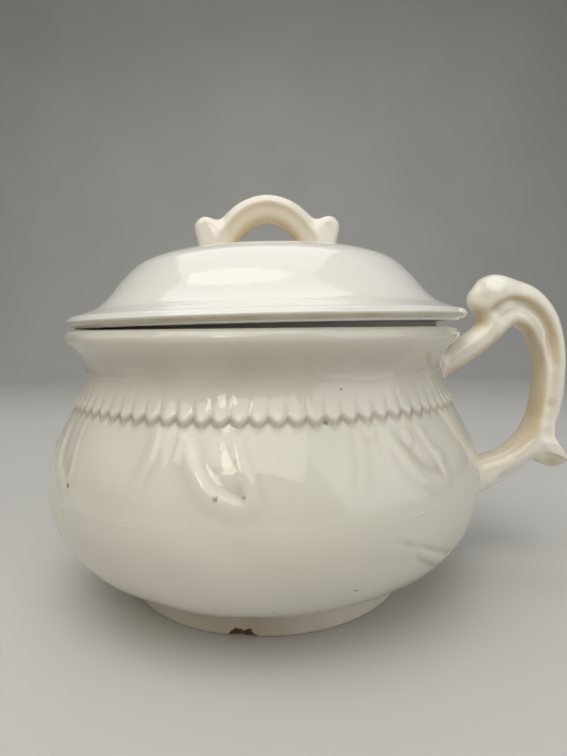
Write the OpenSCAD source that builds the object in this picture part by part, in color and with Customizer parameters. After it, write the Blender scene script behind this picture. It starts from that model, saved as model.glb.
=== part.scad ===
// Covered chamber pot: a bowl on a foot ring, with a fluted band, a scroll handle and a loose lid.
// Millimetres. The origin is the middle of the foot, on the surface that the pot stands on.
// +Z is up, and the handle of the pot points along +X.

/* [Bowl] */
// Largest radius of the belly
belly_r = 109.6; // [104:0.2:116]
// Height of the widest part of the belly
belly_z = 56; // [50:1:62]
// Radius at which the flat base turns up into the belly
base_r = 56; // [50:1:60]
// Radius of the waist below the rim
neck_r = 90.6; // [87:0.2:93]
// Height of the waist
neck_z = 112; // [109:0.5:115]
// Outer radius of the rim
rim_r = 98.8; // [97:0.2:101]
// Height of the pot to the top of its rim
pot_h = 130.5; // [127:0.5:136]
// Radius of the rounded lip
lip_r = 2.9; // [2.5:0.1:3.3]
// Thickness of the wall
wall = 5; // [4:0.2:6]
// Thickness of the floor
floor_t = 6; // [5:0.2:8]
// How late the belly turns in to the waist: 1 is an even curve
shoulder_fullness = 1.15; // [1:0.05:1.3]
// How late the waist turns out to the rim: 1 is an even curve
cove_fullness = 1.25; // [1:0.05:1.4]

/* [Fluted band] */
// Number of flutes in a full turn
flute_count = 85; // [60:1:88]
// Height of the tips of the flutes
flute_z = 95; // [92:0.5:98]
// Height of a flute, from its tip to where it fades into the waist
flute_h = 16; // [12:0.5:18]
// How far a flute stands out near its tip
flute_rise = 1.1; // [0.6:0.1:1.4]
// Width of a flute where it is widest
flute_w = 6.4; // [5.4:0.2:6.8]
// Length of the pointed tip of a flute
flute_tip = 4.5; // [3.5:0.5:5.5]
// Depth to which a flute is let into the wall
flute_sink = 1.8; // [1.2:0.2:2.4]

/* [Embossed leaves] */
// Number of leaf ribs in a full turn
leaf_count = 8; // [4:1:10]
// Angle from the handle to the tip of the nearest rib
leaf_angle = -3.4; // [-12:0.2:12]
// How far a rib stands out
leaf_rise = 0.8; // [0.4:0.1:1.2]
// Width of a rib
leaf_w = 6; // [4:0.5:8]
// Height from the tips of the flutes down to the tip of a rib
leaf_drop = 26.8; // [22:0.4:30]
// Angle round the pot from the top of a rib to its tip
leaf_sweep = 13.4; // [10:0.2:16]

/* [Foot ring] */
// Outer radius of the foot where it stands
foot_r = 70.7; // [66:0.2:74]
// Height of the base above the surface that the foot stands on
foot_h = 9; // [7:0.5:11]
// Thickness of the foot ring
foot_t = 9; // [7:0.5:11]
// How much the foot spreads towards the bottom
foot_flare = 1.2; // [0:0.2:2]
// Chamfer on the bottom edges of the foot
foot_edge = 1; // [0.5:0.1:1.5]

/* [Handle of the pot] */
// How far the handle reaches out beyond the belly
handle_reach = 52; // [48:1:58]
// Width of the handle at the grip
handle_w = 21; // [18:0.5:24]
// Thickness of the handle at the grip
handle_t = 14.6; // [12:0.2:16]
// Width of the handle over its scroll
scroll_w = 22; // [19:0.5:25]
// Width of the handle where it is joined to the bowl
root_w = 25; // [22:0.5:28]
// Height at which the upper arm leaves the waist
upper_root_z = 107.5; // [105:0.5:110]
// Height at which the lower arm leaves the belly
lower_root_z = 46; // [42:1:50]
// Rise of the top of the finger hole above the rim
hole_rise = -1; // [-4:0.5:3]
// Rise of the back of the handle above the rim, behind the scroll
back_rise = 22; // [20:0.5:25]
// Radius of the scroll that curls over towards the lid
scroll_r = 11.5; // [10:0.1:13]
// Clear space between the path of the lid and the scroll
scroll_gap = 8; // [5:0.5:10]
// Rise of the scroll's middle above the rim
scroll_rise = 15.6; // [13:0.2:17]
// Thickness of the upper arm
arm_t = 12.8; // [11:0.2:15]
// Radius of the spur below the grip
spur_r = 5.6; // [4.6:0.1:6.4]
// How far the spur reaches past the back of the grip
spur_reach = 2.5; // [1:0.5:5]
// Depth of the groove along the sides of the handle, as a share of its width
handle_groove = 0.16; // [0:0.02:0.24]

/* [Lid] */
// How far the lid's edge stands out past the rim
lid_over = 1.7; // [0.5:0.1:3]
// Height of the lid's edge, top to bottom
lid_lip = 3.2; // [2.6:0.1:4]
// Rounding of the lid's edge
lid_edge = 1; // [0.6:0.1:1.4]
// Thickness of the lid
lid_wall = 4.6; // [4:0.2:5.4]
// Height of the lid's crown above the rim of the pot
crown_rise = 41; // [37:0.5:45]
// Radius of the domed middle of the lid
dome_r = 60.5; // [56:0.5:64]
// Drop of the dome from its crown to its shoulder
dome_drop = 6.5; // [5:0.5:8]
// Radius of the lid at half the height of its steep side
side_r = 76; // [73:0.5:78]
// Gap under the lid's edge, above the rim
edge_gap = 1.8; // [1.2:0.1:2.4]
// Clearance between the lid's seat and the rim
seat_gap = 0.3; // [0.2:0.05:0.5]
// How far the edge of the lid's seat lies inside the edge of the rim
seat_in = 1.2; // [0.8:0.1:2]
// How far the loose lid stands over towards the handle
lid_shift = 1.5; // [0:0.25:2]

/* [Lid flange] */
// Clearance between the mouth and the flange that drops into it
flange_gap = 7; // [5:0.5:9]
// Thickness of the flange
flange_t = 4.5; // [3.5:0.5:5.5]
// Chamfer on the lower edges of the flange
flange_edge = 1; // [0.5:0.1:1.5]
// Depth of the flange below the rim
flange_drop = 6.5; // [4:0.5:9]

/* [Grip of the lid] */
// Length of the lid's grip over its ears
grip_l = 76; // [70:1:82]
// Height of the grip above the crown
grip_h = 28; // [25:0.5:32]
// Width of the grip
grip_w = 18; // [15:0.5:21]
// Thickness of the grip at the top of its arch
grip_t = 15; // [12:0.5:16]
// Inner radius of the finger hole's arch
grip_hole_r = 14.2; // [13:0.2:15]
// Radius of the rolled ears
ear_r = 6.4; // [5.6:0.1:7]

/* [Hidden] */
$fn = 120;

body_colour = "#d9d6c8";
handle_colour = "#e6dfc9";
lid_colour = "#e9e8e2";

// Steps along each stretch of an outline, along each span of a sweep, and round a sweep
outline_steps = 10;
span_steps = 5;
sides = 20;
// A cutting shape passes this far beyond what it cuts
past = 10;
// Squareness of a swept section: 2 is an ellipse
squareness = 2.4;

lip_z = pot_h - lip_r;
mouth_r = rim_r - 2 * lip_r;
lid_r = rim_r + lid_over;
seat_r = rim_r - seat_in;
flange_r = mouth_r - flange_gap;
lid_edge_z = pot_h + edge_gap;
crown_z = pot_h + crown_rise;
grip_x = belly_r + handle_reach - handle_t / 2;
scroll_x = lid_r + lid_shift + scroll_gap + scroll_r;
scroll_z = pot_h + scroll_rise;
spur_x = belly_r + handle_reach + spur_reach - spur_r;

function mix(a, b, t) = a + (b - a) * t;
// Even steps from 0 to 1
function steps(n) = [for (i = [0 : n]) i / n];
// Moves from a to b and levels out at both ends; a fullness over 1 holds the start longer
function ease(a, b, t, fullness) = mix(a, b, (1 - cos(180 * pow(t, fullness))) / 2);

// A smooth curve through points of any dimension, with n steps to a span
function curve_at(p, i, t) =
    let (a = p[max(i - 1, 0)], b = p[i], c = p[i + 1], d = p[min(i + 2, len(p) - 1)])
    b + (c - a) * t / 2 + (2 * a - 5 * b + 4 * c - d) * t * t / 2 + (3 * (b - c) + d - a) * pow(t, 3) / 2;
function curve(p, n) = concat(
    [for (i = [0 : len(p) - 2]) for (k = [0 : n - 1]) curve_at(p, i, k / n)],
    [p[len(p) - 1]]);
// The same curve moved sideways by d
function beside(p, d) = [for (i = [0 : len(p) - 1])
    let (along = p[min(i + 1, len(p) - 1)] - p[max(i - 1, 0)])
    p[i] + d * [along.y, -along.x] / norm(along)];

// Outline of the bowl as [radius, height] points; the inside is the same outline less the wall
function belly(in_r, in_z) = [for (t = steps(outline_steps))
    [base_r + (belly_r - in_r - base_r) * sin(90 * t), belly_z - (belly_z - foot_h - in_z) * cos(90 * t)]];
function shoulder_r(z) = ease(belly_r, neck_r, (z - belly_z) / (neck_z - belly_z), shoulder_fullness);
function shoulder(in_r) = [for (t = steps(outline_steps)) if (t > 0)
    let (z = mix(belly_z, neck_z, t)) [shoulder_r(z) - in_r, z]];
function cove(in_r, in_lip) = [for (t = steps(outline_steps)) if (t > 0)
    [ease(neck_r, rim_r, t, cove_fullness) - mix(in_r, in_lip, t), mix(neck_z, lip_z, t)]];
function lip() = [for (t = steps(outline_steps)) if (t > 0 && t < 1)
    [rim_r - lip_r + lip_r * cos(180 * t), lip_z + lip_r * sin(180 * t)]];
function reversed(p) = [for (i = [len(p) - 1 : -1 : 0]) p[i]];
function outside() = concat(belly(0, 0), shoulder(0), cove(0, 0));
function inside() = concat(belly(wall, floor_t), shoulder(wall), cove(wall, 2 * lip_r));

// A closed skin over sections that have the same number of points
module loft(sections) {
    n = len(sections[0]);
    last = len(sections) - 1;
    skin = [for (i = [0 : last - 1]) for (k = [0 : n - 1])
        let (a = i * n + k, b = i * n + (k + 1) % n)
        for (f = [[a, b, b + n], [a, b + n, a + n]]) f];
    start = [for (k = [n - 1 : -1 : 0]) k];
    end = [for (k = [0 : n - 1]) last * n + k];
    polyhedron([for (s = sections) each s], concat([start, end], skin));
}

// Solid of the bowl with no hollow, which the pieces joined to it are shaped against
module bowl_outside() {
    rotate_extrude() polygon(concat([[0, foot_h]], outside(), lip(), [[0, lip_z]]));
}

module bowl_hollow() {
    rotate_extrude() polygon(concat(
        [[0, foot_h + floor_t]], inside(),
        [[mouth_r, pot_h + past], [0, pot_h + past]]));
}

// Section of a flute or a rib: a flat bottom let into the wall, and a ridged back
function flute_section(half_w, top) =
    let (edge = mix(-flute_sink, top, 0.9))
    [[-half_w, -flute_sink], [half_w, -flute_sink], [0.6 * half_w, edge], [0, top], [-0.6 * half_w, edge]];

// One flute of the band: it rises from a pointed tip, then sinks into the waist
module flute() {
    half_w = flute_w / 2;
    low = [shoulder_r(flute_z), flute_z];
    high = [shoulder_r(flute_z + flute_h), flute_z + flute_h];
    up = (high - low) / norm(high - low);
    out = [up.y, -up.x];
    stations = [
        [0, 0.2 * half_w, -0.4 * flute_sink],
        [flute_tip, half_w, flute_rise],
        [flute_h * 0.6, 0.96 * half_w, flute_rise * 0.65],
        [flute_h, 0.7 * half_w, -0.3 * flute_sink]];
    loft([for (s = stations) [for (q = flute_section(s[1], s[2]))
        let (p = low + up * s[0] + out * q.y) [p.x, q.x, p.y]]]);
}

// The band stops short of the handle on both sides
module fluted_band() {
    bare_angle = asin((root_w + flute_w) / 2 / neck_r);
    for (i = [0 : flute_count - 1]) {
        angle = 360 * i / flute_count;
        if (min(angle, 360 - angle) > bare_angle) rotate([0, 0, angle]) flute();
    }
}

// Point on the shoulder of the bowl, and the direction that faces out there
function on_bowl(angle, z) = [shoulder_r(z) * cos(angle), shoulder_r(z) * sin(angle), z];
function facing_out(angle, z) =
    let (slope = (shoulder_r(z + 1) - shoulder_r(z - 1)) / 2)
    [cos(angle), sin(angle), -slope] / norm([1, slope]);

// One leaf rib: it hangs from the fluted band, curls to one side and ends in a tip at angle 0
module leaf_rib() {
    path = curve([for (p = [[1, 0.07], [0.84, 0.47], [0.63, 0.77], [0.43, 0.89], [0.15, 0.98], [0, 1]])
        [-leaf_sweep * p.x, flute_z - leaf_drop * p.y]], span_steps);
    last = len(path) - 1;
    loft([for (i = [0 : last])
        let (
            out = facing_out(path[i].x, path[i].y),
            before = path[max(i - 1, 0)],
            after = path[min(i + 1, last)],
            aside = cross(on_bowl(after.x, after.y) - on_bowl(before.x, before.y), out),
            swell = pow(sin(mix(10, 170, i / last)), 0.7),
            top = mix(-flute_sink, leaf_rise, swell))
        [for (q = flute_section(leaf_w / 2 * swell, top))
            on_bowl(path[i].x, path[i].y) + aside / norm(aside) * q.x + out * q.y]]);
}

module pot_body() {
    color(body_colour) {
        difference() {
            bowl_outside();
            bowl_hollow();
        }
        fluted_band();
        for (i = [0 : leaf_count - 1]) rotate([0, 0, leaf_angle + 360 * i / leaf_count]) leaf_rib();
    }
}

module foot_ring() {
    top_r = foot_r - foot_flare;
    top_z = foot_h + past;
    inner_r = foot_r - foot_t;
    color(body_colour) difference() {
        rotate_extrude() polygon([
            [inner_r, foot_edge], [inner_r + foot_edge, 0], [foot_r - foot_edge, 0], [foot_r, foot_edge],
            [top_r, foot_h], [top_r, top_z], [inner_r, top_z]]);
        bowl_outside();
    }
}

// Rounded section of a handle, [along its thickness, along its width], with a groove down each side
function rounded(c) = sign(c) * pow(abs(c), 2 / squareness);
function groove_at(c, depth) = 1 - depth * exp(-pow((c - 0.3) / 0.28, 2));
function section(half_t, half_w, groove) = [for (i = [0 : sides - 1])
    let (angle = 360 * i / sides, c = cos(angle), s = sin(angle))
    [half_t * rounded(c), half_w * rounded(s) * groove_at(c, groove)]];

// A bar in the XZ plane through stations [x, z, half thickness, half width]
module bar(stations, groove) {
    path = curve(stations, span_steps);
    last = len(path) - 1;
    loft([for (i = [0 : last])
        let (
            here = path[i],
            along = path[min(i + 1, last)] - path[max(i - 1, 0)],
            out = [-along[1], along[0]] / norm([along[0], along[1]]))
        [for (s = section(here[2], here[3], groove))
            [here[0] + out[0] * s[0], s[1], here[1] + out[1] * s[0]]]]);
}

// A rolled end that lies across the handle
module roll(r, w) {
    quarter = [for (t = steps(span_steps)) [r * rounded(cos(90 * t)), w / 2 * rounded(sin(90 * t))]];
    rotate([90, 0, 0]) rotate_extrude($fn = 2 * sides) polygon(concat(
        quarter, [for (p = reversed(quarter)) if (p.y > 0) [p.x, -p.y]]));
}

// The loop round the finger hole: from the waist, over the arch, down the grip and back to the belly
module handle_loop() {
    half_w = handle_w / 2;
    half_t = handle_t / 2;
    arch_z = pot_h + hole_rise + half_t;
    bar([
        [neck_r - 6.6, upper_root_z - 4, arm_t / 2, root_w / 2],
        [neck_r + 12.4, upper_root_z + 7.3, arm_t / 2, half_w],
        [scroll_x - 6.5, arch_z - 13.6, arm_t / 2, half_w],
        [scroll_x + 2.5, arch_z - 4.8, half_t - 0.5, half_w],
        [scroll_x + 11, arch_z, half_t, half_w],
        [grip_x - 9.8, arch_z - 5.5, half_t, half_w],
        [grip_x - 2.5, arch_z - 18.8, half_t, half_w],
        [grip_x, arch_z - 33, half_t - 0.5, half_w],
        [grip_x - 3.5, lower_root_z + 30, half_t, half_w],
        [belly_r + 26, lower_root_z + 12, half_t, half_w],
        [belly_r + 9, lower_root_z + 3.5, half_t + 1.4, half_w + 0.8],
        [belly_r - 10, lower_root_z - 3, half_t + 5, root_w / 2]
    ], handle_groove);
}

// The leaf that runs from the scroll over the back of the arch and fades into the grip
module handle_leaf() {
    half_w = handle_w / 2;
    back_z = pot_h + back_rise;
    bar([
        [scroll_x, scroll_z, scroll_r - 0.6, half_w - 0.6],
        [scroll_x + 10, back_z - 6, 9.2, half_w - 0.6],
        [grip_x - 12, back_z - 9, 8.4, half_w - 0.4],
        [grip_x - 2.8, back_z - 19, 7.4, half_w - 0.4],
        [grip_x + 1.2, back_z - 34, 5.6, half_w - 0.8],
        [grip_x + 1, back_z - 48, 3.6, half_w - 2]
    ], handle_groove / 2);
}

// The neck that carries the scroll on the arm
module handle_neck() {
    half_w = handle_w / 2;
    bar([
        [scroll_x + 1, scroll_z - 2, scroll_r - 1.4, half_w - 1],
        [scroll_x + 1.5, scroll_z - 11, arm_t / 2 + 2.6, half_w - 1.2],
        [scroll_x + 1, scroll_z - 18, arm_t / 2 - 1, half_w - 1]
    ], 0);
}

// The pointed leaf end that turns out below the grip
module handle_spur() {
    half_w = handle_w / 2;
    spur_z = lower_root_z + 12.5;
    translate([spur_x, 0, spur_z]) roll(spur_r, handle_w - 4);
    bar([
        [grip_x - 6, lower_root_z + 27, handle_t / 2 - 1, half_w - 1],
        [mix(grip_x, spur_x, 0.1), lower_root_z + 17, handle_t / 2, half_w - 1.4],
        [spur_x, spur_z, spur_r - 0.4, half_w - 2.4]
    ], handle_groove / 2);
}

module pot_handle() {
    color(handle_colour) difference() {
        resize([0, max(scroll_w, root_w), 0]) union() {
            handle_loop();
            handle_leaf();
            handle_neck();
            handle_spur();
            translate([scroll_x, 0, scroll_z]) roll(scroll_r, scroll_w);
        }
        bowl_outside();
    }
}

// Upper outline of the lid from its crown to its edge, as [radius, height] points
function lid_top() =
    let (
        shoulder_z = crown_z - dome_drop,
        brim_z = lid_edge_z + lid_lip,
        side_z = mix(brim_z, shoulder_z, 0.56))
    curve([
        [0, crown_z], [dome_r * 0.55, crown_z - dome_drop * 0.2], [dome_r, shoulder_z],
        [side_r, side_z], [mix(side_r, lid_r, 0.48), brim_z + 5.4], [lid_r - lid_edge, brim_z]
    ], outline_steps);
function lid_under() = [for (p = beside(lid_top(), lid_wall)) if (p.x >= 0 && p.x < lid_r - lid_wall) p];

module lid_cover() {
    edge = [
        [lid_r, lid_edge_z + lid_lip * 0.65], [lid_r, lid_edge_z + lid_lip * 0.3],
        [lid_r - lid_edge, lid_edge_z]];
    color(lid_colour) translate([lid_shift, 0, 0]) rotate_extrude() polygon(concat(
        lid_top(), edge, reversed(lid_under()), [[0, crown_z - lid_wall]]));
}

module lid_flange() {
    inner_r = flange_r - flange_t;
    bottom_z = pot_h - flange_drop;
    seat_z = pot_h + seat_gap;
    color(lid_colour) translate([lid_shift, 0, 0]) difference() {
        rotate_extrude() polygon([
            [inner_r, bottom_z + flange_edge], [inner_r + flange_edge, bottom_z],
            [flange_r - flange_edge, bottom_z], [flange_r, bottom_z + flange_edge],
            [flange_r, seat_z], [seat_r, seat_z], [seat_r, crown_z], [inner_r, crown_z]]);
        rotate_extrude() polygon(concat(
            [[0, crown_z]], lid_under(),
            [[lid_r - lid_edge, lid_edge_z], [lid_r + past, lid_edge_z]],
            [[lid_r + past, crown_z + past], [0, crown_z + past]]));
    }
}

module lid_outside() {
    rotate_extrude() polygon(concat(lid_top(), [[0, lid_edge_z]]));
}

// One ear of the grip, on side 1 or -1: a roll on a web that joins it to the lid and to the arch
module grip_ear(side, ear_x, ear_z, leg_x) {
    half_w = grip_w / 2;
    translate([side * ear_x, 0, ear_z]) roll(ear_r, grip_w - 1);
    bar([
        [side * leg_x, ear_z - 2, ear_r - 0.8, half_w - 1],
        [side * mix(leg_x, ear_x, 0.6), ear_z - 1.6, ear_r - 1, half_w - 1],
        [side * (ear_x - 1), ear_z - 4, ear_r, half_w - 1],
        [side * (ear_x - 3), crown_z - 8, ear_r + 3, half_w]
    ], 0);
}

module lid_handle() {
    half_w = grip_w / 2;
    half_t = grip_t / 2;
    top_z = crown_z + grip_h - half_t;
    leg_x = grip_hole_r + half_t - 1;
    ear_x = grip_l / 2 - ear_r;
    ear_z = crown_z + grip_h * 0.62 - ear_r;
    right_leg = [
        [leg_x * 0.56, top_z - 3.4, half_t - 0.6, half_w],
        [leg_x * 0.92, mix(crown_z, top_z, 0.48), half_t - 1.2, half_w],
        [leg_x, crown_z - 6, half_t - 1, half_w + 1]];
    left_leg = [for (p = reversed(right_leg)) [-p[0], p[1], p[2], p[3]]];
    color(handle_colour) translate([lid_shift, 0, 0]) difference() {
        resize([grip_l, 0, 0]) union() {
            bar(concat(left_leg, [[0, top_z, half_t, half_w]], right_leg), handle_groove / 2);
            for (side = [-1, 1]) grip_ear(side, ear_x, ear_z, leg_x);
        }
        lid_outside();
    }
}

pot_body();
foot_ring();
pot_handle();
lid_cover();
lid_flange();
lid_handle();
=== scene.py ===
# Covered chamber pot in glazed pottery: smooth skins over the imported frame, in metres.
# +Z is up, the handle of the pot points along +X, and the camera looks along +Y.
import math

import bpy
import numpy as np
from mathutils import Matrix, Vector


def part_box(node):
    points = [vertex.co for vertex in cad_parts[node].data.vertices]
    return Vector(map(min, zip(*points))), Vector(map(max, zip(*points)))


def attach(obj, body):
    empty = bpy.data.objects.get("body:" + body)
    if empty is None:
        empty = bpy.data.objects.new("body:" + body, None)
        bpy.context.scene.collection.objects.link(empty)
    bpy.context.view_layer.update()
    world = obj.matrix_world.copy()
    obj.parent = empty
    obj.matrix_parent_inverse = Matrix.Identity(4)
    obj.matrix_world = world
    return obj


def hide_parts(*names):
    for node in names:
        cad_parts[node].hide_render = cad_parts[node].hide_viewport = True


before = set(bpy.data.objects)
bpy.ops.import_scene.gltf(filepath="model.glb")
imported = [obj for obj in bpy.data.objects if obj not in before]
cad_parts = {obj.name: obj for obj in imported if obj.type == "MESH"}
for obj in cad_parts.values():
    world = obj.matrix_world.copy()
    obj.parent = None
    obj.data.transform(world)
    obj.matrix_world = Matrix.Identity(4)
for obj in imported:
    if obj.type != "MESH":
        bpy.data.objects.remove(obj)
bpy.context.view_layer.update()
MM = 0.001

# Sizes that the frame gives
belly_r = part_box("pot_body")[1].y
base_z, rim_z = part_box("pot_body")[0].z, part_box("pot_body")[1].z
foot_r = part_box("foot_ring")[1].y
lid_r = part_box("lid_cover")[1].y
lid_x = (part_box("lid_cover")[0].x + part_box("lid_cover")[1].x) / 2
lid_edge_z, crown_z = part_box("lid_cover")[0].z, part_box("lid_cover")[1].z
flange_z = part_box("lid_flange")[0].z
flange_seat_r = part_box("lid_flange")[1].y
grip_top_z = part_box("lid_handle")[1].z
grip_half = (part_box("lid_handle")[1].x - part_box("lid_handle")[0].x) / 2
grip_half_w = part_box("lid_handle")[1].y

# Bowl
belly_z = 56 * MM
base_r = 56 * MM
neck_r, neck_z = 90.6 * MM, 112 * MM
rim_r = 98.8 * MM
lip_r = 2.9 * MM
lip_z = rim_z - lip_r
wall, floor_t = 5 * MM, 6 * MM
shoulder_fullness, cove_fullness = 1.15, 1.25
# Lift of the belly beside the foot: rise, width, and its middle in widths out from the foot
foot_lift, foot_lift_w, foot_lift_at = 1.1 * MM, 9 * MM, 0.4
# Roll under the lip and the hollow below it: depth under the rim, width, rise
rim_rolls = [(5 * MM, 2.4 * MM, 0.55 * MM), (10.5 * MM, 2.6 * MM, -0.45 * MM)]
# Slow waves of hand-finished clay: height, and for each the turns, climb, start and share
waver_rise = 0.10 * MM
waver_waves = [(7, 90, 0, 1), (11, -130, 1, 1), (17, 210, 2, 0.7)]
relief_from = base_z + 5 * MM

# Fluted band
flute_count = 85
flute_steps = 8
flute_turn = -1.7
flute_z = 95.0 * MM
flute_tail, flute_bead = 0.7 * MM, 0.85 * MM
flute_notch, flute_fade = 3.0 * MM, 16 * MM
flute_edge = (-0.9 * MM, 1.3 * MM)
flute_bead_h = 4.5 * MM
# Share of the fade where the tail starts to sink, and how round a flute is at its tip and top
tail_full, tail_round = 0.3, (0.5, 0.15)
# The band stops beside the handle's root, between these angles from it
band_stop = (math.radians(8), math.radians(11))
# Thin line where the band ends under the rim
band_top, band_rise, band_w = 110.8 * MM, 0.32 * MM, 0.7 * MM

# Embossed leaves. The main rib is in shares of its sweep (degrees) and drop.
leaf_count, leaf_at_handle = 8, 2
leaf_tip_angle = -3.4
leaf_sweep, leaf_drop = 13.4, 26.8 * MM
leaf_path = [[1.15, -0.05], [0.87, 0.47], [0.63, 0.77], [0.43, 0.89], [0.15, 0.98], [-0.1, 1.0]]
leaf_w, leaf_rise = 2.7 * MM, 0.7 * MM
leaf_hollow, leaf_hollow_at, leaf_hollow_w = 0.32 * MM, 5.2 * MM, 3.4 * MM
# Veins beside each main rib: path in degrees from the tip and millimetres, width, rise
leaf_veins = [
    ([[-4.0, 95], [-2.2, 85], [0.2, 75], [1.0, 67]], 1.8 * MM, 0.35 * MM),
    ([[-21.4, 97], [-21.3, 87.7], [-21.9, 79.7], [-24.2, 68]], 1.5 * MM, 0.36 * MM),
    ([[-15.8, 94], [-15.2, 88.3], [-16.0, 80]], 1.3 * MM, 0.2 * MM)]
# Lower leaves: turns in degrees, the two creases in degrees and millimetres, and their sections
low_leaf_turns = [0, 120, 240]
low_leaf_upper = [[24, 53.4], [28.6, 50], [32.2, 47.2], [37.4, 43], [46.7, 35.2], [53, 30]]
low_leaf_lower = [[26, 52.5], [30.4, 46.7], [32, 43.5], [34.7, 39.4], [41.5, 32.2], [48.5, 26]]
low_upper_w, low_upper_rise = 1.4 * MM, -0.6 * MM
low_rib_w, low_rib_rise = 2.8 * MM, 0.7 * MM
low_lower_w, low_lower_rise = 1.5 * MM, -0.5 * MM
# Ribs reach no further than this from the start of their path, which is laid on this radius
rib_reach, rib_r = 45 * MM, belly_r * 0.97

# Fine seam of the mould round the belly, lowest at the front and back and worn off in front
seam_z, seam_wander = 58.7 * MM, 4 * MM
seam_rise, seam_w = 0.1 * MM, 0.4 * MM
seam_wear = (math.radians(18), math.radians(32))

# Drops in the glaze of the front: angle, height in millimetres, radius, rise
glaze_drops = [(23.4, 92.3, 2.4 * MM, 0.5 * MM), (33.4, 87.4, 2.0 * MM, 0.5 * MM),
               (42.0, 78.6, 1.8 * MM, 0.4 * MM)]
# A drop is a soft ring: its middle and width in shares of the radius
drop_ring, drop_ring_w = 0.75, 0.45

# Painted shade with some pooled glaze under the flutes' edge and in the leaves' hollows,
# and painted shade between the flutes and at the waist under the rim
under_shade_and_pool_h, under_shade_and_pool_w, under_shade_and_pool_depth = 1.0 * MM, 1.4 * MM, (0.4, 0.95)
between_shade, between_shade_from, between_shade_to = 0.35, 2 * MM, 9 * MM
waist_shade, waist_shade_z, waist_shade_w = 0.32, 4 * MM, 8 * MM
leaf_shade_and_pool, leaf_shade_and_pool_depth = 0.35, 0.25 * MM

# The loose lid lies a little askew on the rim, and its grip was set on a little askew too
lid_lean, lid_tip, grip_lean = math.radians(0.75), math.radians(0.4), math.radians(0.15)
lid_shift = 0.8 * MM
lid_x += lid_shift


# Numbers and curves
def smooth(low, high, x):
    """0 up to low, 1 from high on, and a smooth step between. It falls where low is over high."""
    t = np.clip((x - low) / (high - low), 0, 1)
    return t * t * (3 - 2 * t)


def mix(a, b, t):
    return a + (b - a) * t


def hump(x, width):
    """A soft hump round zero, 1 high."""
    return np.exp(-(x / width) ** 2)


def wrapped(angle):
    """The same angle, between -pi and pi."""
    return (angle + np.pi) % (2 * np.pi) - np.pi


def curve(points, per_span):
    """A smooth curve through the points, with per_span steps between each two."""
    p = np.asarray(points, float)
    p = np.vstack([2 * p[0] - p[1], p, 2 * p[-1] - p[-2]])
    out = []
    for a, b, c, d in zip(p, p[1:], p[2:], p[3:]):
        for t in np.arange(per_span) / per_span:
            out.append(b + (c - a) * t / 2 + (2 * a - 5 * b + 4 * c - d) * t**2 / 2
                       + (3 * (b - c) + d - a) * t**3 / 2)
    return np.array(out + [p[-2]])


def right_of(profile):
    """Unit vectors to the right of the way that a profile runs."""
    along = np.gradient(profile, axis=0)
    return np.stack([along[:, 1], -along[:, 0]], -1) / np.hypot(*along.T)[:, None]


def distance_to(path, x, y):
    """Distance of points to a polyline, how far along it they are, and on which side."""
    best = np.full(np.broadcast(x, y).shape, 1e9)
    along, side = np.zeros(best.shape), np.zeros(best.shape)
    for i, (a, b) in enumerate(zip(path, path[1:])):
        ab = b - a
        t = np.clip(((x - a[0]) * ab[0] + (y - a[1]) * ab[1]) / (ab @ ab), 0, 1)
        dx, dy = x - a[0] - t * ab[0], y - a[1] - t * ab[1]
        d = np.hypot(dx, dy)
        near = d < best
        best = np.where(near, d, best)
        along = np.where(near, (i + t) / (len(path) - 1), along)
        side = np.where(near, np.sign(ab[0] * dy - ab[1] * dx), side)
    return best, along, side


# Meshes
def mesh_piece(name, points, faces):
    mesh = bpy.data.meshes.new(name)
    mesh.from_pydata(np.asarray(points).tolist(), [], faces)
    mesh.update()
    mesh.shade_smooth()
    piece = bpy.data.objects.new(name, mesh)
    bpy.context.scene.collection.objects.link(piece)
    return piece


def put_points(piece, points):
    piece.data.vertices.foreach_set("co", np.ascontiguousarray(points, np.float32).ravel())
    piece.data.update()


def read_vectors(rows, key):
    out = np.zeros(len(rows) * 3, np.float32)
    rows.foreach_get(key, out)
    return out.reshape(-1, 3).astype(float)


def get_points(piece):
    return read_vectors(piece.data.vertices, "co")


def get_normals(piece):
    return read_vectors(piece.data.vertex_normals, "vector")


def put_attribute(piece, name, values):
    layer = piece.data.attributes.new(name, "FLOAT", "POINT")
    layer.data.foreach_set("value", np.ascontiguousarray(values, np.float32).ravel())


def inside_box(points, node):
    """The points, moved into the box of a node of the frame."""
    low, high = (np.array(v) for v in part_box(node))
    return np.clip(points, low, high)


def turned(profile, angles, centre_x=0.0):
    """Rings of [radius, height] points round the Z axis, as [ring, column, xyz]."""
    r, z = profile[:, 0, None], profile[:, 1, None]
    return np.stack([centre_x + r * np.cos(angles), r * np.sin(angles), z + 0 * angles], -1)


def full_turn(columns):
    return np.linspace(0, 2 * np.pi, columns, endpoint=False)


def lathe(name, rings):
    """A closed turned skin, whose first and last rings close to a point."""
    count, columns = rings.shape[:2]
    poles = [rings[0].mean(0), rings[-1].mean(0)]
    points = np.vstack([rings[1:-1].reshape(-1, 3), poles])
    start, end = len(points) - 2, len(points) - 1
    faces = []
    for i in range(count - 3):
        a, b = i * columns, (i + 1) * columns
        for j in range(columns):
            k = (j + 1) % columns
            faces.append((a + j, a + k, b + k, b + j))
    last = (count - 3) * columns
    for j in range(columns):
        k = (j + 1) % columns
        faces.append((start, k, j))
        faces.append((end, last + j, last + k))
    return mesh_piece(name, points, faces)


def lathe_values(values):
    """Values for lathe()'s points, from [ring, column] values."""
    return np.concatenate([values[1:-1].ravel(), [values[0].mean(), values[-1].mean()]])


def ring_skin(name, rings):
    """A turned skin like a tyre, whose last ring joins its first."""
    count, columns = rings.shape[:2]
    faces = []
    for i in range(count):
        a, b = i * columns, (i + 1) % count * columns
        for j in range(columns):
            k = (j + 1) % columns
            faces.append((a + j, a + k, b + k, b + j))
    return mesh_piece(name, rings.reshape(-1, 3), faces)


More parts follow.
